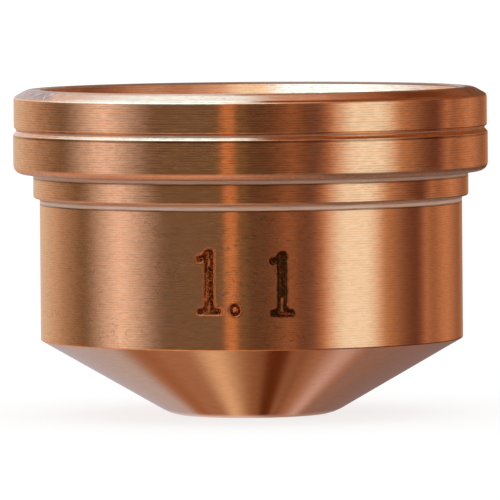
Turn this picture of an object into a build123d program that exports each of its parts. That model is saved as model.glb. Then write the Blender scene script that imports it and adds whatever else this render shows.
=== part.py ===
from build123d import *

import math
import os

# Plasma torch nozzle, turned from one copper bar: a cup that opens upwards and narrows to a cone
# with the arc bore at its tip. The origin is the centre of the flat tip, and +Z runs up the axis
# to the rim. Lengths are millimetres, angles are degrees.

# Cone and tip
tip_radius = 3.38
tip_corner_radius = 1.7
cone_half_angle = 60.0

# Body, the long plain wall above the cone
body_radius = 8.9
body_height = 5.98
body_edge_break = 0.08

# Step, the low band that centres the nozzle under its flange
step_ledge = 0.27
step_height = 1.04
step_corner_share = 0.6

# Flange, with a fine V groove between its two bands
flange_ledge = 0.83
flange_height = 3.54
flange_corner_share = 0.46
lip_relief = 0.03
rim_cut_width = 0.56
rim_cut_height = 0.35
groove_below_rim = 1.63
groove_width = 0.28
groove_depth = 0.14
groove_floor_share = 0.1

# Inside, from the rim down: seat for the swirl ring, chamber with a conical floor, throat, bore
rim_wall = 1.3
lead_in_width = 0.15
lead_in_height = 0.6
seat_depth = 2.6
seat_edge_chamfer = 0.2
body_wall = 1.5
chamber_corner_cut = 0.4
floor_half_angle = 60.0
floor_land = 1.1
throat_flare = 0.75
throat_half_angle = 45.0
orifice_radius = 0.55
orifice_length = 2.0

# How far a cutting section runs past the surface that it cuts
overrun = 0.5

# Heights of the outside, from the tip up
cone_height = (body_radius - tip_radius) / math.tan(math.radians(cone_half_angle))
step_bottom = cone_height + body_height
flange_bottom = step_bottom + step_height
nozzle_height = flange_bottom + flange_height
groove_middle = nozzle_height - groove_below_rim - groove_width / 2

# Radii of the bands
step_radius = body_radius + step_ledge
flange_radius = step_radius + flange_ledge
lip_radius = flange_radius - lip_relief

# The groove's section: its flanks keep their slope out to the overrun, so that the mouth has
# its named width where it meets the band
groove_floor_radius = lip_radius - groove_depth
groove_half_floor = groove_width * groove_floor_share / 2
groove_slope = (groove_width / 2 - groove_half_floor) / groove_depth
groove_half_mouth = groove_width / 2 + overrun * groove_slope

# Inside, from the bore up
throat_radius = orifice_radius + throat_flare
floor_height = orifice_length + throat_flare / math.tan(math.radians(throat_half_angle))
floor_radius = throat_radius + floor_land
chamber_radius = body_radius - body_wall
cone_floor_height = (chamber_radius - floor_radius) / math.tan(math.radians(floor_half_angle))
chamber_bottom = floor_height + cone_floor_height
seat_radius = flange_radius - rim_wall
seat_bottom = nozzle_height - seat_depth
mouth_radius = seat_radius + lead_in_width


def corner(section, radius, height):
    """The corner of a turned section that lies nearest to a radius and a height."""
    return section.vertices().sort_by(lambda vertex: abs(vertex.X - radius) + abs(vertex.Y - height))[0]


with BuildPart() as nozzle:
    # The outside: cone, body, step, the two bands of the flange and the bevel at the rim
    with BuildSketch(Plane.XZ) as outside:
        with BuildLine():
            Polyline(
                (0, 0),
                (tip_radius, 0),
                (body_radius, cone_height),
                (body_radius, step_bottom),
                (step_radius, step_bottom),
                (step_radius, flange_bottom),
                (flange_radius, flange_bottom),
                (flange_radius, groove_middle),
                (lip_radius, groove_middle),
                (lip_radius, nozzle_height - rim_cut_height),
                (lip_radius - rim_cut_width, nozzle_height),
                (0, nozzle_height),
                close=True,
            )
        make_face()
        fillet(corner(outside, tip_radius, 0), tip_corner_radius)
        chamfer(corner(outside, body_radius, cone_height), body_edge_break)
        fillet(corner(outside, step_radius, step_bottom), step_ledge * step_corner_share)
        fillet(corner(outside, flange_radius, flange_bottom), flange_ledge * flange_corner_share)
    revolve(axis=Axis.Z)

    # The V groove, whose flanks meet the bands in crisp edges
    with BuildSketch(Plane.XZ):
        with BuildLine():
            Polyline(
                (groove_floor_radius, groove_middle - groove_half_floor),
                (lip_radius + overrun, groove_middle - groove_half_mouth),
                (lip_radius + overrun, groove_middle + groove_half_mouth),
                (groove_floor_radius, groove_middle + groove_half_floor),
                close=True,
            )
        make_face()
    revolve(axis=Axis.Z, mode=Mode.SUBTRACT)

    # The stepped hollow: arc bore, throat, conical floor, chamber, seat and its tapered lead-in
    with BuildSketch(Plane.XZ) as hollow:
        with BuildLine():
            Polyline(
                (0, -overrun),
                (orifice_radius, -overrun),
                (orifice_radius, orifice_length),
                (throat_radius, floor_height),
                (floor_radius, floor_height),
                (chamber_radius, chamber_bottom),
                (chamber_radius, seat_bottom),
                (seat_radius, seat_bottom),
                (seat_radius, nozzle_height - lead_in_height),
                (mouth_radius, nozzle_height),
                (mouth_radius, nozzle_height + overrun),
                (0, nozzle_height + overrun),
                close=True,
            )
        make_face()
        chamfer(corner(hollow, chamber_radius, chamber_bottom), chamber_corner_cut)
        chamfer(corner(hollow, chamber_radius, seat_bottom), seat_edge_chamfer)
    revolve(axis=Axis.Z, mode=Mode.SUBTRACT)

nozzle.part.label = "nozzle"

os.makedirs("parts", exist_ok=True)
export_step(nozzle.part, "parts/nozzle.step")
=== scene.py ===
import math

import bpy
import numpy as np
from mathutils import Euler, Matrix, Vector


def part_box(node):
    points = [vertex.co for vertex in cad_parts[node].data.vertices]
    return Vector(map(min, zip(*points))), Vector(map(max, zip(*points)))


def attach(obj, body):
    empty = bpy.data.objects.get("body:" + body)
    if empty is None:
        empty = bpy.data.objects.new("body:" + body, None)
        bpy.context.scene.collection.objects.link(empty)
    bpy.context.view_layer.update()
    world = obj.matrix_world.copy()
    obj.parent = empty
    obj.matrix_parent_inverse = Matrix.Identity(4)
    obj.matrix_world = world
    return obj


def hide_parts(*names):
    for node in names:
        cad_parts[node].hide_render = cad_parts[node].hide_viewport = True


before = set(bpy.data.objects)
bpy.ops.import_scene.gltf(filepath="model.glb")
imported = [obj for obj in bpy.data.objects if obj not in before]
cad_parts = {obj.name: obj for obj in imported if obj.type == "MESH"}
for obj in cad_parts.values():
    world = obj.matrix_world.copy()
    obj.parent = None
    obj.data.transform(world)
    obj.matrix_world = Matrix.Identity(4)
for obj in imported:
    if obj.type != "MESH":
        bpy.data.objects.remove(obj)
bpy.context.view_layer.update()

bl_info = {
    "name": "Plasma Torch Nozzle",
    "version": (1, 0, 0),
    "blender": (4, 5, 0),
    "location": "View3D > Sidebar > Nozzle",
    "description": "Turns a copper plasma torch nozzle, marks its bore size and lights it in a studio",
    "category": "Add Mesh",
}

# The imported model's box, which the dressed nozzle has to stay inside
LOW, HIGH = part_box("nozzle")
FLANGE_RADIUS = (HIGH[0] - LOW[0]) / 2
NOZZLE_HEIGHT = HIGH[2] - LOW[2]

MM = 0.001

# Height of the torn strips under the step and under the flange, in millimetres
STEP_STRIP = 0.25
FLANGE_STRIP = 0.19

# The mark's share of the mesh, in millimetres: its grid, its columns round the wall from the front, and a
# place between its two digits
MARK_GRID = 0.034
MARK_START = -2.42
MARK_END = 1.95
BETWEEN_DIGITS = 0.3

# Turn between two directions of a ripple's waves, in radians
GOLDEN_ANGLE = 2.39996


def length(name, description, millimetres):
    """A length for the panel, given here in millimetres and kept in metres as the scene is."""
    return bpy.props.FloatProperty(
        name=name,
        description=description,
        default=millimetres * MM,
        subtype="DISTANCE",
        unit="LENGTH",
        precision=5,
    )


def angle(name, description, degrees):
    """An angle for the panel, given here in degrees and kept in radians."""
    return bpy.props.FloatProperty(
        name=name,
        description=description,
        default=math.radians(degrees),
        subtype="ANGLE",
        unit="ROTATION",
    )


def colour(name, description, red, green, blue):
    """A linear colour for the panel."""
    return bpy.props.FloatVectorProperty(
        name=name,
        description=description,
        default=(red, green, blue),
        size=3,
        min=0.0,
        max=1.0,
        subtype="COLOR",
    )


def share(name, description, value):
    """A plain factor for the panel."""
    return bpy.props.FloatProperty(
        name=name, description=description, default=value, min=0.0, subtype="FACTOR"
    )


# Sizes and colours


class NozzleSizes(bpy.types.PropertyGroup):
    flange_radius: length("Flange radius", "Half the width over the flange", FLANGE_RADIUS / MM)
    nozzle_height: length("Nozzle height", "From the flat tip to the rim", NOZZLE_HEIGHT / MM)
    tip_radius: length("Tip radius", "Where the tip and the cone would meet in a sharp corner", 3.38)
    tip_corner: length("Tip corner", "Rounding between the tip and the cone", 1.7)
    cone_half_angle: angle("Cone half angle", "Slope of the cone from the axis", 60.0)
    body_radius: length("Body radius", "Radius of the long plain wall", 8.9)
    cone_edge: length("Cone edge", "Rounding of the edge between the cone and the wall", 0.1)
    body_height: length("Body height", "Length of the plain wall", 5.98)
    step_ledge: length("Step ledge", "How far the step stands out from the wall", 0.27)
    step_height: length("Step height", "Height of the low band under the flange", 1.04)
    step_corner: length("Step corner", "Rounding at the step's lower corner", 0.12)
    step_root: length("Step root", "Hollow rounding between the wall and the step", 0.1)
    flange_corner: length("Flange corner", "Rounding at the flange's lower corner", 0.382)
    flange_root: length("Flange root", "Hollow rounding between the step and the flange", 0.15)
    lip_relief: length("Lip relief", "How far the upper band lies inside the lower one", 0.03)
    bevel_width: length("Bevel width", "Width of the bevel at the rim, across", 0.56)
    bevel_height: length("Bevel height", "Height of the bevel at the rim", 0.315)
    bevel_low_edge: length("Bevel low edge", "Rounding of the bevel's lower edge", 0.2)
    bevel_top_edge: length("Bevel top edge", "Rounding of the bevel's upper edge", 0.6)
    groove_below_rim: length("Groove below rim", "From the rim down to the V groove", 1.595)
    groove_width: length("Groove width", "Mouth of the V groove", 0.29)
    groove_depth: length("Groove depth", "Depth of the V groove", 0.1)
    groove_floor: length("Groove floor", "Width of the groove's dull floor", 0.06)
    groove_rise: share("Groove rise", "How far up its mouth the groove's floor lies", 0.63)
    groove_top_edge: length("Groove top edge", "Rounding of the groove's upper edge", 0.09)
    groove_low_edge: length("Groove low edge", "Rounding of the groove's lower edge", 0.05)
    rim_wall: length("Rim wall", "Wall between the flange and the seat", 1.3)
    lead_in_width: length("Lead-in width", "How far the seat flares out at the rim", 0.15)
    lead_in_height: length("Lead-in height", "Height of the flare at the rim", 0.6)
    mouth_edge: length("Mouth edge", "Rounding of the mouth's edge", 0.08)
    scuffed_ring: length("Scuffed ring", "Width of the dull ring on the rim", 0.2)
    seat_depth: length("Seat depth", "From the rim down to the swirl ring's ledge", 2.6)
    seat_edge: length("Seat edge", "Chamfer at the ledge's inner edge", 0.2)
    body_wall: length("Body wall", "Wall between the plain wall and the chamber", 1.5)
    chamber_corner: length("Chamber corner", "Corner cut at the bottom of the chamber", 0.4)
    floor_land: length("Floor land", "Flat ring round the throat", 1.1)
    throat_flare: length("Throat flare", "How far the throat opens above the bore", 0.75)
    bore_radius: length("Bore radius", "Radius of the arc bore", 0.55)
    bore_length: length("Bore length", "Length of the straight arc bore", 2.0)
    edge_break: length("Edge break", "Tiny rounding of every crisp edge", 0.025)


class MarkSizes(bpy.types.PropertyGroup):
    base_height: length("Base height", "Height of the first digit's foot above the tip", 4.65)
    digit_height: length("Digit height", "Height of the first digit", 2.72)
    stem_width: length("Stem width", "Width of each upright stroke", 0.4)
    foot_width: length("Foot width", "Width of each digit's foot", 1.02)
    first_digit: length("First digit", "First digit's middle, round the wall from the front", -1.768)
    second_digit: length("Second digit", "Second digit's middle, round the wall from the front", 1.263)
    second_drop: length("Second drop", "How much lower the second digit was struck", 0.075)
    second_height: length("Second height", "Height of the second digit", 2.68)
    point_place: length("Point place", "The decimal point's middle, round the wall from the front", -0.682)
    point_radius: length("Point radius", "Outer radius of the decimal point", 0.25)
    depth: length("Depth", "Depth of the engraving", 0.07)
    burr: length("Burr", "Height of the metal pushed up along the strokes", 0.009)


class FinishColours(bpy.types.PropertyGroup):
    copper: colour("Copper", "Freshly turned copper", 0.95, 0.64, 0.42)
    warm_copper: colour("Warm copper", "Copper in the deeper turning lines", 0.88, 0.51, 0.3)
    torn_copper: colour("Torn copper", "Torn surface where the tool ran out", 0.95, 0.51, 0.33)
    # Painted reflection: the torn strips turn to this grey towards the sides seen from the front, where the
    # metal mirrors the pale backdrop
    grey_side_reflection: colour("Grey copper", "The same surface at the sides", 0.62, 0.54, 0.48)
    # Partly real wear, partly painted: the bevel's grey ends stand in for the pale backdrop mirrored at the
    # sides, and their bright lines for highlights
    rubbed_grey_and_reflection: colour("Rubbed copper", "The bevel's two rubbed ends", 0.38, 0.31, 0.27)
    scratch_and_highlight: colour("Scratch", "Bright scratches across the rubbed ends", 1.0, 0.88, 0.76)
    scuffed_copper: colour("Scuffed copper", "Dull ring on top of the rim", 0.38, 0.21, 0.14)
    # Painted shadow and painted highlight: a dark line at the foot of each torn strip and along the groove's
    # lower edge, and a pale line above it
    painted_shadow_line: colour("Hairline", "Dark line where a torn strip starts", 0.1, 0.035, 0.018)
    gleam: colour("Gleam", "Pale line above that hairline", 1.0, 0.73, 0.57)
    burnt: colour("Burnt", "Floor of the engraved mark", 0.085, 0.016, 0.003)
    sooty: colour("Sooty", "Floor of the second digit", 0.055, 0.026, 0.008)
    burnt_speck: colour("Burnt speck", "Bright grains on the mark's floor", 0.82, 0.21, 0.045)
    raised_copper: colour("Raised copper", "Heat-tinted burr round the mark", 0.88, 0.2, 0.035)
    roughness: share("Roughness", "Gloss of the turned copper", 0.145)
    turned_grain: share("Turned grain", "How far the turning lines stretch a highlight along the wall", 0.9)
    line_pitch: length("Line pitch", "Distance between the turning lines", 0.1)


class StudioSettings(bpy.types.PropertyGroup):
    camera_distance: length("Camera distance", "From the camera to the nozzle's axis", 337.0)
    camera_height: length("Camera height", "Height of the camera above the floor", 23.0)
    aim_height: length("Aim height", "Height at the picture's centre", 6.9)
    aim_side: length("Aim side", "How far the picture's centre lies beside the axis", -0.055)
    camera_roll: angle("Camera roll", "Small tilt of the camera", -0.44)
    focal_length: bpy.props.FloatProperty(
        name="Focal length",
        description="Lens in millimetres on a sensor of 36",
        default=576.0,
        min=1.0,
        subtype="DISTANCE_CAMERA",
        unit="CAMERA",
    )
    backdrop: colour("Backdrop", "Colour of the floor and backdrop", 1.0, 1.0, 1.0)
    dim_card: colour("Dim card", "Dim warm board between the lights", 0.12, 0.058, 0.03)
    left_softbox: colour("Left softbox", "Soft light on the left", 0.91, 0.75, 0.71)
    right_softbox: colour("Right softbox", "Soft light on the right", 0.97, 1.0, 0.95)
    warm_card: colour("Warm card", "Warm board on the far right", 0.638, 0.27, 0.13)
    floor_glow: colour("Floor glow", "Pale floor seen in the metal", 0.35, 0.18, 0.11)


# Shader maths


class Number:
    """A number in a node tree. Python's operators on it add Math nodes."""

    def __init__(self, tree, socket):
        self.tree = tree
        self.socket = socket

    def _maths(self, operation, *values):
        inputs = dict(enumerate(values))
        return Number(self.tree, self.tree.add("ShaderNodeMath", {"operation": operation}, inputs))

    def __add__(self, other):
        return self._maths("ADD", self, other)

    __radd__ = __add__

    def __sub__(self, other):
        return self._maths("SUBTRACT", self, other)

    def __rsub__(self, other):
        return self._maths("SUBTRACT", other, self)

    def __mul__(self, other):
        return self._maths("MULTIPLY", self, other)

    __rmul__ = __mul__

    def __pow__(self, other):
        return self._maths("POWER", self, other)

    def __abs__(self):
        return self._maths("ABSOLUTE", self)

    def at_least(self, other):
        return self._maths("MAXIMUM", self, other)

    def at_most(self, other):
        return self._maths("MINIMUM", self, other)

    def sine(self):
        return self._maths("SINE", self)

    def arc_tangent_over(self, other):
        return self._maths("ARCTAN2", self, other)

    def rise(self, low, high):
        """0 below low, 1 above high and an even curve between; high may lie below low."""
        settings = {"interpolation_type": "SMOOTHSTEP"}
        values = {0: self, 1: low, 2: high, 3: 0.0, 4: 1.0}
        return Number(self.tree, self.tree.add("ShaderNodeMapRange", settings, values))


class NodeTree:
    """An emptied node tree. add() makes any node from its type, its settings and its inputs."""

    def __init__(self, owner):
        owner.use_nodes = True
        self.tree = owner.node_tree
        self.tree.nodes.clear()

    def add(self, kind, settings=None, inputs=None, output=0):
        node = self.tree.nodes.new(kind)
        for name, value in (settings or {}).items():
            setattr(node, name, value)
        for name, value in (inputs or {}).items():
            socket = node.inputs[name]
            if isinstance(value, Number):
                value = value.socket
            if isinstance(value, bpy.types.NodeSocket):
                self.tree.links.new(value, socket)
            elif socket.type == "RGBA" and len(value) == 3:
                socket.default_value = (*value, 1.0)
            else:
                socket.default_value = value
        return node.outputs[output] if len(node.outputs) else None

    def number(self, kind, settings=None, inputs=None, output=0):
        return Number(self, self.add(kind, settings, inputs, output))

    def mix(self, factor, first, second, blend="MIX"):
        """Blends two colours by a factor."""
        settings = {"data_type": "RGBA", "blend_type": blend, "clamp_factor": True}
        return self.add("ShaderNodeMix", settings, {0: factor, 6: first, 7: second}, 2)

    def split(self, vector):
        """The three numbers of a vector."""
        node = self.add("ShaderNodeSeparateXYZ", None, {0: vector}).node
        return [Number(self, socket) for socket in node.outputs]

    def join(self, x, y, z):
        """A vector of three numbers."""
        return self.add("ShaderNodeCombineXYZ", None, {0: x, 1: y, 2: z})

    def attribute(self, name):
        """A number that the piece keeps at each of its points."""
        return self.number("ShaderNodeAttribute", {"attribute_name": name}, None, "Fac")

    def noise(self, place, scale, detail=2.0, roughness=0.5, distortion=0.0):
        """Noise about 0.5 at a place."""
        inputs = {
            "Vector": place,
            "Scale": scale,
            "Detail": detail,
            "Roughness": roughness,
            "Distortion": distortion,
        }
        return self.number("ShaderNodeTexNoise", {"noise_dimensions": "3D"}, inputs, "Fac")


# Turned surface


def ledge_heights(size):
    """Heights in millimetres of the cone's top, the step's lower edge and the flange's lower edge."""
    cone_top = (size.body_radius - size.tip_radius) / math.tan(size.cone_half_angle)
    step_bottom = cone_top + size.body_height
    return cone_top / MM, step_bottom / MM, (step_bottom + size.step_height) / MM


def nozzle_outline(size):
    """Corners of the turned section in millimetres, in order round the metal: out along the tip, up the
    outside, over the rim and down the hollow to the bore. Each is (radius, height, rounding, finish of the
    stretch that follows): finish 0 is turned, 1 is torn, where the tool ran out, and -1 is scuffed, with
    shares between them. A corner on a straight stretch only changes the finish."""
    lengths = [name for name in size.__annotations__ if name not in ("cone_half_angle", "groove_rise")]
    mm = {name: getattr(size, name) / MM for name in lengths}
    slope = math.tan(size.cone_half_angle)
    crisp = mm["edge_break"]
    body = mm["body_radius"]
    flange = mm["flange_radius"]
    height = mm["nozzle_height"]
    step = body + mm["step_ledge"]
    lip = flange - mm["lip_relief"]
    cone_top, step_bottom, flange_bottom = ledge_heights(size)
    groove_top = height - mm["groove_below_rim"]
    groove_low = groove_top - mm["groove_width"]
    groove_floor = groove_low + mm["groove_width"] * size.groove_rise
    seat = flange - mm["rim_wall"]
    chamber = body - mm["body_wall"]
    bore = mm["bore_radius"]
    throat = bore + mm["throat_flare"]
    throat_top = mm["bore_length"] + mm["throat_flare"]
    land = throat + mm["floor_land"]
    floor_top = throat_top + (chamber - land) / slope
    seat_bottom = height - mm["seat_depth"]
    return [
        (bore, 0.0, crisp, 0),
        (mm["tip_radius"], 0.0, mm["tip_corner"], 0),
        (body, cone_top, mm["cone_edge"], 0),
        (body, step_bottom - STEP_STRIP, 0.02, 1),
        (body, step_bottom, mm["step_root"], 1),
        (step, step_bottom, mm["step_corner"], 0),
        (step, flange_bottom - FLANGE_STRIP, 0.02, 1),
        (step, flange_bottom, mm["flange_root"], 1),
        (flange, flange_bottom, mm["flange_corner"], 0),
        (flange, groove_low, mm["groove_low_edge"], 0),
        (lip - mm["groove_depth"], groove_floor - mm["groove_floor"] / 2, 0.01, -0.8),
        (lip - mm["groove_depth"], groove_floor + mm["groove_floor"] / 2, 0.01, 0),
        (lip, groove_top, mm["groove_top_edge"], 0),
        (lip, height - mm["bevel_height"], mm["bevel_low_edge"], 0),
        (lip - mm["bevel_width"], height, mm["bevel_top_edge"], 0),
        (seat + mm["lead_in_width"] + mm["scuffed_ring"], height, 0.02, -1),
        (seat + mm["lead_in_width"], height, mm["mouth_edge"], -1),
        (seat + 0.85 * mm["lead_in_width"], height - 0.15 * mm["lead_in_height"], 0.02, 0),
        (seat, height - mm["lead_in_height"], 0.3, 0),
        (seat, seat_bottom, 0.05, 0),
        (chamber + mm["seat_edge"], seat_bottom, crisp, 0),
        (chamber, seat_bottom - mm["seat_edge"], crisp, 0),
        (chamber, floor_top, mm["chamber_corner"], 0),
        (land, throat_top, crisp, 0),
        (throat, throat_top, crisp, 0),
        (bore, mm["bore_length"], crisp, 0),
    ]


def rounded_section(corners, dense_low, dense_high, dense_step):
    """The closed outline through the corners, each replaced by an arc that touches both its sides: for a
    corner that turns by t, an arc of radius r starts r * tan(t / 2) before it. The finish changes evenly
    along the arc. Straight stretches get a point close to each end, so that shading stays flat between the
    arcs, and the part of the plain wall that carries the mark gets a point every dense_step."""
    # A corner that turns less than this, in radians, isn't rounded. It gets a point this close, in
    # millimetres, on each side.
    straight = 0.02
    beside = 0.01

    place = np.array([corner[:2] for corner in corners])
    radius = np.array([corner[2] for corner in corners])
    finish = np.array([corner[3] for corner in corners])
    before = np.roll(place, 1, axis=0) - place
    after = np.roll(place, -1, axis=0) - place
    before /= np.linalg.norm(before, axis=1)[:, None]
    after /= np.linalg.norm(after, axis=1)[:, None]
    turn = math.pi - np.arccos(np.clip((before * after).sum(axis=1), -1, 1))
    reach = radius * np.tan(turn / 2)
    points, kinds = [], []
    for i in range(len(corners)):
        if turn[i] > straight:
            bisector = before[i] + after[i]
            bisector /= np.linalg.norm(bisector)
            centre = place[i] + bisector * radius[i] / math.cos(turn[i] / 2)
            # Degrees to each facet, fewer facets on a small rounding
            facet = 10.0 if radius[i] > 0.11 else 24.0
            steps = max(2, math.ceil(math.degrees(turn[i]) / facet))
            start = place[i] + before[i] * reach[i] - centre
            end = place[i] + after[i] * reach[i] - centre
            side = np.sign(start[0] * end[1] - start[1] * end[0])
            t = side * turn[i] * np.arange(steps + 1) / steps
            arc_radius = start[0] * np.cos(t) - start[1] * np.sin(t)
            arc_height = start[0] * np.sin(t) + start[1] * np.cos(t)
            points.append(centre + np.stack([arc_radius, arc_height], axis=1))
            part = np.arange(steps + 1) / steps
            kinds.append(finish[i - 1] + (finish[i] - finish[i - 1]) * part * part * (3 - 2 * part))
        else:
            points.append(place[i][None, :] + after[i] * np.array([[-beside], [beside]]))
            kinds.append(np.array([finish[i - 1], finish[i]]))
        j = (i + 1) % len(corners)
        first = points[-1][-1]
        last = place[j] + before[j] * (reach[j] if turn[j] > straight else beside)
        run = float(np.linalg.norm(last - first))
        if run < 0.1:
            continue

        # Points at most 1.2 mm apart, or denser where the mark is
        inset = min(0.03, run / 4)
        marks = np.linspace(inset, run - inset, max(2, math.ceil(run / 1.2) + 1))
        if first[1] < dense_low and last[1] > dense_high:
            dense = np.arange(dense_low, dense_high, dense_step) - first[1]
            clear = (marks < dense[0] - 0.02) | (marks > dense[-1] + 0.02)
            marks = np.unique(np.concatenate([marks[clear], dense]))
        points.append(first + (last - first) * marks[:, None] / run)
        kinds.append(np.full(len(marks), finish[i]))
    return np.concatenate(points), np.concatenate(kinds).astype(float)


def ripple(x, y, seed):
    """Uneven height, mostly between -1 and 1: a sum of crossing sine waves whose directions turn by the
    golden angle, and whose lengths and heights shrink from each to the next."""
    total = np.zeros_like(x)
    for k in range(9):
        turn = GOLDEN_ANGLE * k + seed
        wave = 17.0 * 1.31**k
        phase = wave * (x * math.cos(turn) + y * math.sin(turn)) + 1.7 * seed * (k + 1)
        total += np.sin(phase) / (1 + 0.25 * k)
    return total / 3.2


def capsule(x, y, start, end, radius):
    """Signed distance to a round-ended stroke: the distance to its middle line less its radius."""
    run = np.subtract(end, start)
    along = np.clip(((x - start[0]) * run[0] + (y - start[1]) * run[1]) / (run @ run), 0, 1)
    return np.hypot(x - start[0] - along * run[0], y - start[1] - along * run[1]) - radius


def slab(x, y, low, high, rounding):
    """Signed distance to a rounded rectangle: outside, the distance to its nearest point; inside, the
    nearest side."""
    middle = np.add(low, high) / 2
    half = np.subtract(high, low) / 2 - rounding
    dx = np.abs(x - middle[0]) - half[0]
    dy = np.abs(y - middle[1]) - half[1]
    return np.hypot(np.maximum(dx, 0), np.maximum(dy, 0)) + np.minimum(np.maximum(dx, dy), 0) - rounding


def joined(first, second, blend):
    """Two strokes run together, with a fillet of about blend where they meet (a smooth minimum)."""
    overlap = np.maximum(blend - np.abs(first - second), 0) / blend
    return np.minimum(first, second) - overlap * overlap * blend / 4


def upright_one(x, y, mark, height, foot_lift):
    """Signed distance to the digit 1: a stem on a flared foot, and a flag that ends in a ball."""
    half = mark.stem_width / MM / 2
    top = height / MM
    foot = mark.foot_width / MM / 2
    stem = slab(x, y, (-half, foot_lift), (half, top - 0.05), 0.12)
    head = capsule(x, y, (half - 0.17, top - 0.17), (-0.03, top - 0.3), 0.17)
    flag = capsule(x, y, (-0.08, top - 0.27), (-0.34, top - 0.4), 0.11)
    ball = np.hypot(x + 0.39, y - top + 0.42) - 0.145
    base = slab(x, y, (-foot, 0.0), (foot, 0.27), 0.1)
    return joined(joined(joined(stem, head, 0.08), joined(flag, ball, 0.08), 0.08), base, 0.18)


def mark_distance(x, y, mark):
    """Signed distance in millimetres to the bore size, 1.1, from the length x round the wall and height y."""
    base = mark.base_height / MM
    first = upright_one(x - mark.first_digit / MM, y - base, mark, mark.digit_height, 0.1)
    second = upright_one(
        x - mark.second_digit / MM, y - base + mark.second_drop / MM, mark, mark.second_height, 0.05
    )
    radius = mark.point_radius / MM
    px = (x - mark.point_place / MM) / 0.94
    py = (y - base - 0.2) / 1.1
    ring = np.abs(np.hypot(px, py) - radius * 0.66) - radius * 0.3
    return np.minimum(np.minimum(first, second), ring)


def rubbed_spots(x, y, mark):
    """Where the mark's floor was missed or worn bare again, from 0 to 1: a line down the first stem and a
    spot under its head, and a patch low in the second stem that runs out along its foot."""
    base = mark.base_height / MM
    first = mark.first_digit / MM
    second = mark.second_digit / MM
    strokes = [
        ((first - 0.11, base + 0.5), (first - 0.12, base + 1.75), 0.0),
        ((first - 0.17, base + 0.62), (first - 0.15, base + 0.7), 0.04),
        ((first - 0.02, base + 0.1), (first + 0.02, base + 0.35), 0.03),
        ((first, base + 2.05), (first + 0.03, base + 2.25), 0.03),
        ((second - 0.01, base + 0.15), (second, base + 0.68), 0.03),
        ((second - 0.12, base + 0.04), (second + 0.34, base + 0.02), 0.018),
    ]
    wobble = 0.025 * ripple(x * 0.8, y * 0.5, 3.0)
    spots = [capsule(x, y, start, end, radius) + wobble for start, end, radius in strokes]
    return np.max([np.clip(0.5 - spot / 0.06, 0, 1) for spot in spots], axis=0)


def engraving(x, y, mark):
    """Depth of the mark at each point, and how burnt and how raised it is. The floor is rough and deepest
    along the strokes' edges, and outside it a low burr follows the strokes. The second digit was struck
    with less heat: its burr is lower, and its soot reaches over its edge."""
    wobble = 0.018 * ripple(x, y, 2.0)
    distance = mark_distance(x, y, mark) + wobble
    inside = np.clip(-distance / 0.05, 0, 1)
    inside = inside * inside * (3 - 2 * inside)
    trench = np.exp(-(((distance + 0.07) / 0.035) ** 2))
    ridge = np.clip((-distance - 0.1) / 0.08, 0, 1)
    bare = rubbed_spots(x, y, mark)
    floor = 0.8 + 0.35 * trench - 0.2 * ridge - 0.3 * bare + 0.3 * ripple(x, y, 5.0)
    depth = inside * mark.depth / MM * floor
    raised = np.exp(-(((distance - 0.025) / 0.025) ** 2))
    second = x > BETWEEN_DIGITS
    uneven = np.clip(0.7 + 0.6 * ripple(x * 0.6, y * 0.6, 9.0), 0.1, 1.3) * np.where(second, 0.3, 1.0)
    burnt = np.clip(0.5 - (distance - np.where(second, 0.03, 0.0)) / 0.03, 0, 1)
    tinted = np.maximum(np.clip(4 * raised * uneven, 0, 1), np.clip(3 * bare, 0, 1) * burnt)
    return depth - raised * uneven * mark.burr / MM, burnt * (1 - 0.9 * bare), tinted


def lathe(name, points, angles):
    """A closed ring surface: the section's points, as (radius, height), carried round the axis. A point at
    angle a lies at (radius * sin a, -radius * cos a, height), so angle 0 faces -Y."""
    rows, columns = angles.shape
    x = points[..., 0] * np.sin(angles)
    y = -points[..., 0] * np.cos(angles)
    place = np.stack([x, y, points[..., 1]], axis=-1).reshape(-1, 3) * MM
    i, j = np.meshgrid(np.arange(rows), np.arange(columns), indexing="ij")
    up, on = (i + 1) % rows, (j + 1) % columns
    ring = [i * columns + j, i * columns + on, up * columns + on, up * columns + j]
    quads = np.stack(ring, axis=-1).reshape(-1, 4)
    mesh = bpy.data.meshes.new(name)
    mesh.vertices.add(len(place))
    mesh.vertices.foreach_set("co", place.astype(np.float32).ravel())
    mesh.loops.add(quads.size)
    mesh.loops.foreach_set("vertex_index", quads.astype(np.int32).ravel())
    mesh.polygons.add(len(quads))
    mesh.polygons.foreach_set("loop_start", np.arange(0, quads.size, 4, dtype=np.int32))
    mesh.update(calc_edges=True)
    mesh.polygons.foreach_set("use_smooth", np.ones(len(quads), bool))
    mesh.validate()
    return mesh


def keep(mesh, name, values):
    """Keeps one number at each point of the mesh for its material."""
    layer = mesh.attributes.new(name, "FLOAT", "POINT")
    layer.data.foreach_set("value", values.astype(np.float32).ravel())


def column_angles(low, high, fine, coarse):
    """Angles of the mesh's columns: fine steps over the mark, coarse ones elsewhere, with a column at each
    quarter turn so that the mesh is as wide as the nozzle."""
    stops = [low, high, math.pi / 2, math.pi, 1.5 * math.pi, 2 * math.pi + low]
    steps = [fine] + [coarse] * 4
    runs = [
        np.linspace(start, end, max(2, round((end - start) / step)) + 1)[:-1]
        for start, end, step in zip(stops, stops[1:], steps)
    ]
    return np.concatenate(runs)


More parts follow.
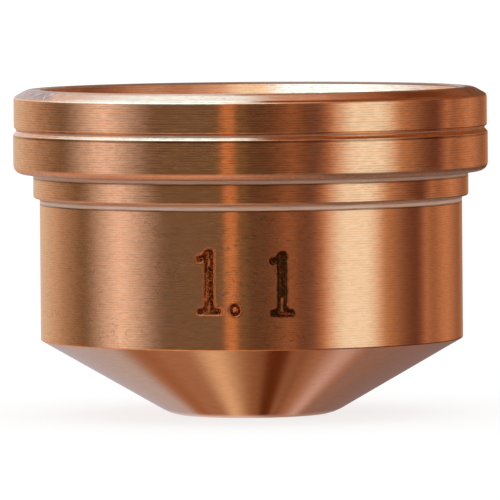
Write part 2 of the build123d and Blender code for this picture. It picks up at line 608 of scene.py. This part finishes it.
def turned_nozzle(size, mark):
    """The whole nozzle as one ring surface with the bore size engraved in its wall."""
    low = mark.base_height / MM
    high = low + mark.digit_height / MM
    section, finish = rounded_section(nozzle_outline(size), low - 0.25, high + 0.15, MARK_GRID)
    body = size.body_radius / MM
    angles = column_angles(MARK_START / body, MARK_END / body, MARK_GRID / body, math.radians(1.7))
    step = np.linalg.norm(np.roll(section, -1, axis=0) - section, axis=1)
    along = np.concatenate([[0.0], np.cumsum(step)[:-1]])
    grid = np.broadcast_to(section[:, None, :], (len(section), len(angles), 2)).copy()
    turn = np.broadcast_to(angles[None, :], grid.shape[:2])
    radius, height = section[:, 0], section[:, 1]
    on_wall = (np.abs(radius - body) < 1e-4) & (height > low - 0.3) & (height < high + 0.2)
    around = np.where(turn > math.pi, turn - 2 * math.pi, turn) * body
    depth, burnt, raised = engraving(around, grid[..., 1], mark)
    nearby = on_wall[:, None] & (np.abs(around) < 2.5)
    grid[..., 0] -= np.where(nearby, depth, 0)
    mesh = lathe("nozzle_turned", grid, turn)
    full = np.ones(len(angles))
    keep(mesh, "along", along[:, None] * full)
    keep(mesh, "finish", finish[:, None] * full)
    keep(mesh, "burnt", np.where(nearby, burnt, 0))
    keep(mesh, "raised", np.where(nearby, raised, 0))
    return mesh


# Turned copper


def turned_copper(finish, size):
    """Fine-turned copper: rings one feed apart, streaks drawn round the axis and small bent nicks, with torn
    strips under the ledges, a scuffed ring and two worn grey ends at the rim, and a burnt floor in the mark.
    The torn strips carry a painted shadow line at their foot and a painted highlight line above it, and turn
    grey towards the sides as a painted reflection; the rim's grey ends and their bright lines are partly real
    wear and partly painted reflection and highlight."""
    material = bpy.data.materials.new("turned_copper")
    tree = NodeTree(material)
    place = tree.add("ShaderNodeTexCoord", None, None, "Object")
    place = tree.add("ShaderNodeVectorMath", {"operation": "SCALE"}, {0: place, "Scale": 1 / MM})
    x, y, z = tree.split(place)
    along = tree.attribute("along")
    finish_here = tree.attribute("finish")
    torn = finish_here.at_least(0.0)
    scuffed = (0.0 - finish_here).at_least(0.0)
    burnt = tree.attribute("burnt")
    raised = tree.attribute("raised")
    radius = (x * x + y * y) ** 0.5
    wall = size.body_radius / MM
    flange = size.flange_radius / MM
    mouth = (size.flange_radius - size.rim_wall + size.lead_in_width) / MM
    cone_top, step_bottom, flange_bottom = ledge_heights(size)
    rim = size.nozzle_height / MM
    groove_low = (size.nozzle_height - size.groove_below_rim - size.groove_width) / MM
    outside = radius.rise(wall - 0.1, wall - 0.05)

    # 1 on the plain wall, where the tool marks are fainter and the nicks are denser
    body = radius.rise(wall - 0.3, wall - 0.1) * radius.rise(wall + 0.15, wall + 0.05)
    body = body * z.rise(cone_top + 0.01, cone_top + 0.21)
    body = body * z.rise(step_bottom - 0.09, step_bottom - 0.29)

    # The cone was cut with a finer feed
    quiet = 1.0 - 0.75 * z.rise(cone_top + 0.06, cone_top - 0.09)

    def grained(around, up, detail=2.0, roughness=0.5):
        """Noise with so many grains to a millimetre round the nozzle and so many up its section."""
        return tree.noise(tree.join(x * around, y * around, along * up), 1.0, detail, roughness)

    # Rings of the tool's feed, a little uneven and broken into dashes, and finer streaks between them
    drift = grained(0.25, 2.0)
    rings = ((along + drift * 0.05) * (2 * math.pi * MM / finish.line_pitch)).sine()
    dashes = grained(2.2, 7.0, 3.0, 0.6).rise(0.3, 0.62)
    strength = dashes * (0.4 + grained(0.5, 1.3)) * quiet
    streaks = grained(0.9, 18.0, 3.0, 0.6)
    fine = grained(3.0, 30.0, 2.0, 0.6)

    # Nicks: short bent strokes, from stretched noise that a slower noise bends
    bend = grained(1.6, 1.6)
    nick_place = tree.join(x * 3.4, y * 3.4, (along + bend * 0.9) * 14.0)
    nicks = tree.noise(nick_place, 1.0, 2.0, 0.5, 0.8)
    crowd = tree.noise(tree.join(x * 0.35, y * 0.35, z * 0.3), 1.0, 2.0).rise(0.38, 0.62)
    crowd = (0.3 + 0.7 * crowd) * (0.45 + 0.55 * body) * (1.0 - 0.6 * x.rise(1.5, 4.5)) * quiet
    dark_nicks = nicks.rise(0.58, 0.67) * crowd
    light_nicks = nicks.rise(0.4, 0.32) * crowd

    # Torn metal is patchy, and all rough metal has a fine grain
    grey = (torn * (0.6 + 0.8 * tree.noise(tree.join(x * 6.0, y * 6.0, z * 18.0), 1.0, 3.0))).at_most(1.0)
    grain = tree.noise(place, 20.0, 3.0, 0.7)

    def line(level, half, full):
        """A line round the nozzle at a height: 1 up to full from its middle and 0 past half."""
        return abs(z - level).rise(half, full)

    # Painted shadow: each torn strip starts in a dark line, and another dark line runs along the groove's
    # lower
    # edge. Painted highlight: a pale gleam just above each strip's dark line.
    starts = [step_bottom - STEP_STRIP, flange_bottom - FLANGE_STRIP]
    under_step, under_flange = [line(start - 0.01, 0.05, 0.05 / 3) for start in starts]
    under_groove = line(groove_low - 0.075, 0.05, 0.02) * radius.rise(flange - 0.1, flange - 0.05)
    painted_shadow_line = under_step.at_least(under_flange).at_least(under_groove)
    over_step, over_flange = [line(start + 0.1, 0.08, 0.08 / 3) for start in starts]
    gleam = over_step.at_least(over_flange)
    tears = grained(0.6, 24.0, 3.0, 0.65).rise(0.5, 0.62)

    # The bevel's two ends are worn grey and crossed by fine bright lines: partly real wear and scrapes,
    # partly a painted reflection of the pale backdrop and painted highlights. They are placed by the degrees
    # round the axis from the front, and a patchy noise makes their edges wander.
    turn = abs(x.arc_tangent_over(0.0 - y)) * math.degrees(1)
    patchy = tree.noise(place, 1.6, 3.0, 0.6)
    from_left = turn - 12.0 * x.rise(-1.0, 1.0)
    rubbed_and_reflected = (from_left + patchy * 26.0 - 13.0).rise(52.0, 62.0)
    rubbed_and_reflected = rubbed_and_reflected * (turn + patchy * 20.0 - 10.0).rise(118.0, 108.0)
    rubbed_and_reflected = rubbed_and_reflected * z.rise(rim - 0.35, rim - 0.28) * radius.rise(mouth - 0.05, mouth + 0.05)
    rising, falling = y + along, y - along
    scratches_and_glints = tree.noise(tree.join(rising * 9.0, falling * 1.0, 0.0), 1.0, 2.0).rise(0.55, 0.63)
    crossing = tree.noise(tree.join(falling * 8.0, rising * 0.8, 7.0), 1.0, 2.0).rise(0.57, 0.65)
    scratches_and_glints = rubbed_and_reflected * scratches_and_glints.at_least(crossing)

    # Colour
    pale = (streaks - 0.5) * quiet * (0.6 - 0.3 * body) + fine * 0.5 + 0.2
    tone = tree.mix(pale.rise(0.2, 0.7), finish.warm_copper, finish.copper)
    shade = 1.04 - (0.5 + 0.5 * rings) * strength * (0.3 - 0.15 * body)
    shade = shade - dark_nicks * 0.34 + light_nicks * 0.12
    shade = shade * (0.92 + 0.16 * fine)
    shaded = tree.mix(1.0, tone, tree.join(shade, shade, shade), "MULTIPLY")
    # Painted reflection: the torn strips fade to grey between 45 and 68 degrees round from the front
    dull = tree.mix(turn.rise(45.0, 68.0), finish.torn_copper, finish.grey_side_reflection)
    dull = tree.mix(tears * 0.6, dull, finish.scuffed_copper)
    shaded = tree.mix(grey * 0.8, shaded, dull)
    # Painted highlight: a pale line near the foot of each torn strip
    shaded = tree.mix(gleam * outside * (1.0 - 0.4 * tears), shaded, finish.gleam)
    # Painted shadow: a dark line at the foot of each torn strip and below the groove
    shaded = tree.mix(painted_shadow_line * outside * (0.55 + 0.3 * tears), shaded, finish.painted_shadow_line)
    # Painted reflection over real wear on the bevel's grey ends, then painted highlights in their bright
    # lines
    shaded = tree.mix(rubbed_and_reflected * 0.95, shaded, finish.rubbed_grey_and_reflection)
    shaded = tree.mix(scratches_and_glints * 0.9, shaded, finish.scratch_and_highlight)
    shaded = tree.mix(scuffed * (1.0 - rubbed_and_reflected), shaded, finish.scuffed_copper)
    lit = tree.mix(raised.at_most(1.0), shaded, finish.raised_copper)
    second = x.rise(BETWEEN_DIGITS - 0.1, BETWEEN_DIGITS + 0.3)
    specks = grain.rise(0.5, 0.62) * (1.0 - 0.65 * second)
    floor = tree.mix(second, finish.burnt, finish.sooty)
    floor = tree.mix(specks, floor, finish.burnt_speck)
    base = tree.mix(burnt, lit, floor)

    # Gloss and relief
    rough = finish.roughness + 0.04 * (streaks - 0.5) + dark_nicks * 0.06 + grey * 0.22
    rough = rough + scuffed * 0.3 + rubbed_and_reflected * 0.16 + burnt * 0.4 + raised * 0.12
    height = rings * strength * (0.3 - 0.15 * body) + streaks * quiet * (0.7 - 0.35 * body)
    height = height + (dark_nicks - light_nicks) * (1.6 - 0.8 * body) - scratches_and_glints * 2.5
    height = height + grain * (grey + burnt) * 2.5
    metal = 1.0 - 0.6 * scuffed - 0.8 * torn
    normal = tree.add("ShaderNodeBump", None, {"Strength": 0.5, "Distance": 0.0007 * MM, "Height": height})
    shader = tree.add(
        "ShaderNodeBsdfPrincipled",
        None,
        {
            "Base Color": base,
            "Metallic": metal,
            "Roughness": rough,
            "Anisotropic": finish.turned_grain,
            "Anisotropic Rotation": 0.25,
            "Normal": normal,
        },
    )
    tree.add("ShaderNodeOutputMaterial", None, {"Surface": shader})
    return material


# Studio


def studio_world(studio):
    """White to the camera and to soft light. In gloss it is a studio of soft lights and dim boards over a
    pale floor. Each direction is placed by the metal that mirrors it to the camera: the facing angle, which
    is that metal's turn round the axis from the front, and the tilt, how far it leans up or, below zero,
    down. Both are in degrees."""
    world = bpy.data.worlds.new("studio")
    tree = NodeTree(world)
    ray = tree.add("ShaderNodeTexCoord", None, None, "Generated")
    x, y, z = tree.split(ray)
    facing = x.arc_tangent_over(1.0 - y) * math.degrees(1)
    across = (x * x + (1.0 - y) * (1.0 - y)) ** 0.5
    tilt = z.arc_tangent_over(across) * math.degrees(1)

    def boards(ground, layers):
        """Lays soft-edged upright boards over a ground, each as (facing, half width, softness, colour)."""
        for centre, half, soft, shade in layers:
            mask = abs(facing - centre).rise(half + soft, half - soft)
            ground = tree.mix(mask, ground, shade)
        return ground

    def fades(shade, steps):
        """A colour that fades into the next between two facing angles, for each (start, end, colour)."""
        for start, end, following in steps:
            shade = tree.mix(facing.rise(start, end), shade, following)
        return shade

    dim = studio.dim_card
    left = studio.left_softbox
    right = studio.right_softbox
    warm = studio.warm_card
    walls = boards(
        dim,
        [
            (-48.4, 47.6, 0.6, (0.165, 0.098, 0.046)),
            (-85.2, 21.3, 2.0, (0.698, 0.537, 0.398)),
            (-63.3, 5.2, 9.5, (0.49, 0.33, 0.24)),
            (-38.0, 6.6, 8.9, left),
            (-5.5, 1.6, 1.2, (0.563, 0.24, 0.095)),
            (10.0, 0.9, 6.8, (0.4, 0.168, 0.088)),
            (15.8, 1.2, 2.6, (0.18, 0.085, 0.068)),
            (55.0, 20.0, 1.1, (0.155, 0.062, 0.04)),
            (36.0, 4.8, 9.5, (0.712, 0.39, 0.22)),
            (22.9, 4.3, 3.3, (0.6, 0.29, 0.17)),
            (29.2, 6.6, 3.9, right),
            (55.6, 1.3, 3.9, (0.523, 0.25, 0.145)),
            (66.4, 6.8, 8.0, (0.554, 0.268, 0.147)),
            (90.4, 10.2, 9.5, warm),
        ],
    )
    streaks = boards(
        studio.floor_glow,
        [
            (-62.0, 22.0, 5.0, (0.47, 0.45, 0.5)),
            (-32.0, 3.0, 4.0, (0.31, 0.13, 0.06)),
            (-11.0, 4.5, 5.0, (0.72, 0.53, 0.36)),
            (1.0, 2.0, 3.0, (0.24, 0.11, 0.05)),
            (7.4, 4.0, 2.5, (0.1, 0.018, 0.0)),
            (15.0, 2.0, 3.0, (0.22, 0.1, 0.05)),
            (27.5, 3.5, 5.0, (0.62, 0.46, 0.48)),
            (38.0, 3.0, 5.0, (0.26, 0.19, 0.19)),
            (64.0, 22.0, 6.0, (0.25, 0.175, 0.17)),
        ],
    )
    skirt = fades((0.7, 0.38, 0.25), [(-10.0, 8.0, (0.36, 0.17, 0.09)), (12.0, 24.0, (0.25, 0.1, 0.06))])
    edge = fades(skirt, [(8.0, 22.0, (0.09, 0.03, 0.015))])
    near_floor = fades((0.72, 0.62, 0.66), [(-6.0, 16.0, (0.42, 0.32, 0.29))])
    flare = fades(
        (0.9, 0.8, 0.8),
        [
            (-70.0, -28.0, (1.4, 2.3, 3.3)),
            (-12.0, -2.0, (1.2, 1.15, 1.05)),
            (2.0, 9.0, (0.85, 0.6, 0.5)),
            (6.0, 24.0, (0.46, 0.24, 0.17)),
            (24.0, 54.0, (0.25, 0.11, 0.07)),
        ],
    )
    gutter = fades((0.8, 0.7, 0.72), [(-60.0, -35.0, (1.15, 1.7, 2.3)), (-4.0, 5.0, (0.25, 0.09, 0.04))])
    overhead = fades(
        (0.78, 0.7, 0.74),
        [
            (-54.0, -26.0, (1.05, 1.5, 2.0)),
            (-6.0, 9.0, (0.68, 0.47, 0.4)),
            (10.0, 30.0, (0.42, 0.19, 0.11)),
            (26.0, 46.0, (0.15, 0.05, 0.02)),
            (52.0, 66.0, (0.25, 0.1, 0.05)),
        ],
    )
    crown = fades(
        (0.66, 0.56, 0.52),
        [
            (-40.0, -22.0, (0.8, 0.8, 0.85)),
            (-12.0, -1.0, (0.4, 0.24, 0.17)),
            (28.0, 42.0, (0.22, 0.09, 0.05)),
        ],
    )

    # From the walls down to the floor beneath the nozzle, then up to what hangs over it
    seen = tree.mix(tilt.rise(-19.0, -25.0), walls, edge)
    seen = tree.mix(tilt.rise(-40.0, -45.0), seen, skirt)
    seen = tree.mix(tilt.rise(-50.0, -54.0), seen, streaks)
    seen = tree.mix(tilt.rise(-67.0, -72.0), seen, near_floor)
    seen = tree.mix(tilt.rise(8.5, 12.0), seen, flare)
    seen = tree.mix(tilt.rise(20.0, 25.0), seen, gutter)
    seen = tree.mix(tilt.rise(50.0, 55.0), seen, overhead)
    seen = tree.mix(tilt.rise(62.0, 67.0), seen, crown)
    path = tree.add("ShaderNodeLightPath").node
    glossy = Number(tree, path.outputs["Is Glossy Ray"])
    colour_seen = tree.mix(glossy, studio.backdrop, seen)
    background = tree.add("ShaderNodeBackground", None, {"Color": colour_seen, "Strength": 1.0})
    tree.add("ShaderNodeOutputWorld", None, {"Surface": background})
    world.cycles.sampling_method = "NONE"
    return world


def pale_floor(studio):
    """A plain pale floor: a matt share of its colour takes the nozzle's soft shadow, and a glow that only
    the camera, gloss and glass see fills it up to white."""
    matt_share = 0.25
    glow_share = 0.79
    reach = np.array([-3.0, 3.0])
    x, y = np.meshgrid(reach, reach)
    place = np.stack([x.ravel(), y.ravel(), np.full(4, LOW[2])], axis=1)
    mesh = bpy.data.meshes.new("floor")
    mesh.from_pydata(place.tolist(), [], [(0, 1, 3, 2)])
    floor = bpy.data.objects.new("floor", mesh)
    material = bpy.data.materials.new("pale_floor")
    tree = NodeTree(material)
    path = tree.add("ShaderNodeLightPath").node
    seen = (
        Number(tree, path.outputs["Is Camera Ray"])
        .at_least(Number(tree, path.outputs["Is Glossy Ray"]))
        .at_least(Number(tree, path.outputs["Is Transmission Ray"]))
    )
    shade = tuple(matt_share * part for part in studio.backdrop)
    matt = tree.add("ShaderNodeBsdfDiffuse", None, {"Color": shade})
    inputs = {"Color": studio.backdrop, "Strength": seen * glow_share}
    glow = tree.add("ShaderNodeEmission", None, inputs)
    both = tree.add("ShaderNodeAddShader", None, {0: matt, 1: glow})
    tree.add("ShaderNodeOutputMaterial", None, {"Surface": both})
    mesh.materials.append(material)
    floor.visible_glossy = False
    return floor


def photo_camera(studio):
    """A long lens a little above the rim, aimed close to the nozzle's axis."""
    data = bpy.data.cameras.new("photo_camera")
    data.lens = studio.focal_length
    data.sensor_width = 36.0
    data.clip_start = 0.01
    data.clip_end = 20.0
    camera = bpy.data.objects.new("photo_camera", data)
    drop = math.atan2(studio.camera_height - studio.aim_height, studio.camera_distance)
    camera.location = (0.0, -studio.camera_distance, studio.camera_height)
    side = -math.atan2(studio.aim_side, studio.camera_distance)
    aim = Euler((math.pi / 2 - drop, 0.0, side)).to_matrix()
    roll = Euler((0.0, 0.0, studio.camera_roll)).to_matrix()
    camera.rotation_euler = (aim @ roll).to_euler()
    return camera


# Operators and panel


class NOZZLE_OT_turned_nozzle(bpy.types.Operator):
    """Turn the nozzle, engrave its bore size and give it its copper finish"""

    bl_idname = "nozzle.turned_nozzle"
    bl_label = "Turned Nozzle"

    def execute(self, context):
        scene = context.scene
        mesh = turned_nozzle(scene.nozzle_sizes, scene.nozzle_mark)
        mesh.materials.append(turned_copper(scene.nozzle_finish, scene.nozzle_sizes))
        piece = bpy.data.objects.new("nozzle_turned", mesh)
        scene.collection.objects.link(piece)
        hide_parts("nozzle")
        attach(piece, "root")
        return {"FINISHED"}


class NOZZLE_OT_studio(bpy.types.Operator):
    """Lay the pale floor, hang the soft lights and place the camera"""

    bl_idname = "nozzle.studio"
    bl_label = "Studio"

    def execute(self, context):
        scene = context.scene
        studio = scene.nozzle_studio
        floor = pale_floor(studio)
        scene.collection.objects.link(floor)
        scene.world = studio_world(studio)
        camera = photo_camera(studio)
        scene.collection.objects.link(camera)
        scene.camera = camera
        scene.view_settings.view_transform = "Standard"
        return {"FINISHED"}


class NOZZLE_PT_panel(bpy.types.Panel):
    """Sizes, colours and steps of the nozzle"""

    bl_idname = "NOZZLE_PT_panel"
    bl_label = "Plasma Torch Nozzle"
    bl_space_type = "VIEW_3D"
    bl_region_type = "UI"
    bl_category = "Nozzle"

    def draw(self, context):
        layout = self.layout
        for title, group in (
            ("Sizes", context.scene.nozzle_sizes),
            ("Mark", context.scene.nozzle_mark),
            ("Finish", context.scene.nozzle_finish),
            ("Studio", context.scene.nozzle_studio),
        ):
            box = layout.box()
            box.label(text=title)
            for name in group.__annotations__:
                box.prop(group, name)
        layout.operator(NOZZLE_OT_turned_nozzle.bl_idname)
        layout.operator(NOZZLE_OT_studio.bl_idname)


GROUPS = {
    "nozzle_sizes": NozzleSizes,
    "nozzle_mark": MarkSizes,
    "nozzle_finish": FinishColours,
    "nozzle_studio": StudioSettings,
}
CLASSES = (*GROUPS.values(), NOZZLE_OT_turned_nozzle, NOZZLE_OT_studio, NOZZLE_PT_panel)


def register():
    for cls in CLASSES:
        bpy.utils.register_class(cls)
    for name, cls in GROUPS.items():
        setattr(bpy.types.Scene, name, bpy.props.PointerProperty(type=cls))


def unregister():
    for name in GROUPS:
        delattr(bpy.types.Scene, name)
    for cls in reversed(CLASSES):
        bpy.utils.unregister_class(cls)


def main():
    register()
    bpy.ops.nozzle.turned_nozzle()
    bpy.ops.nozzle.studio()
    bpy.context.view_layer.update()


if __name__ == "__main__":
    main()
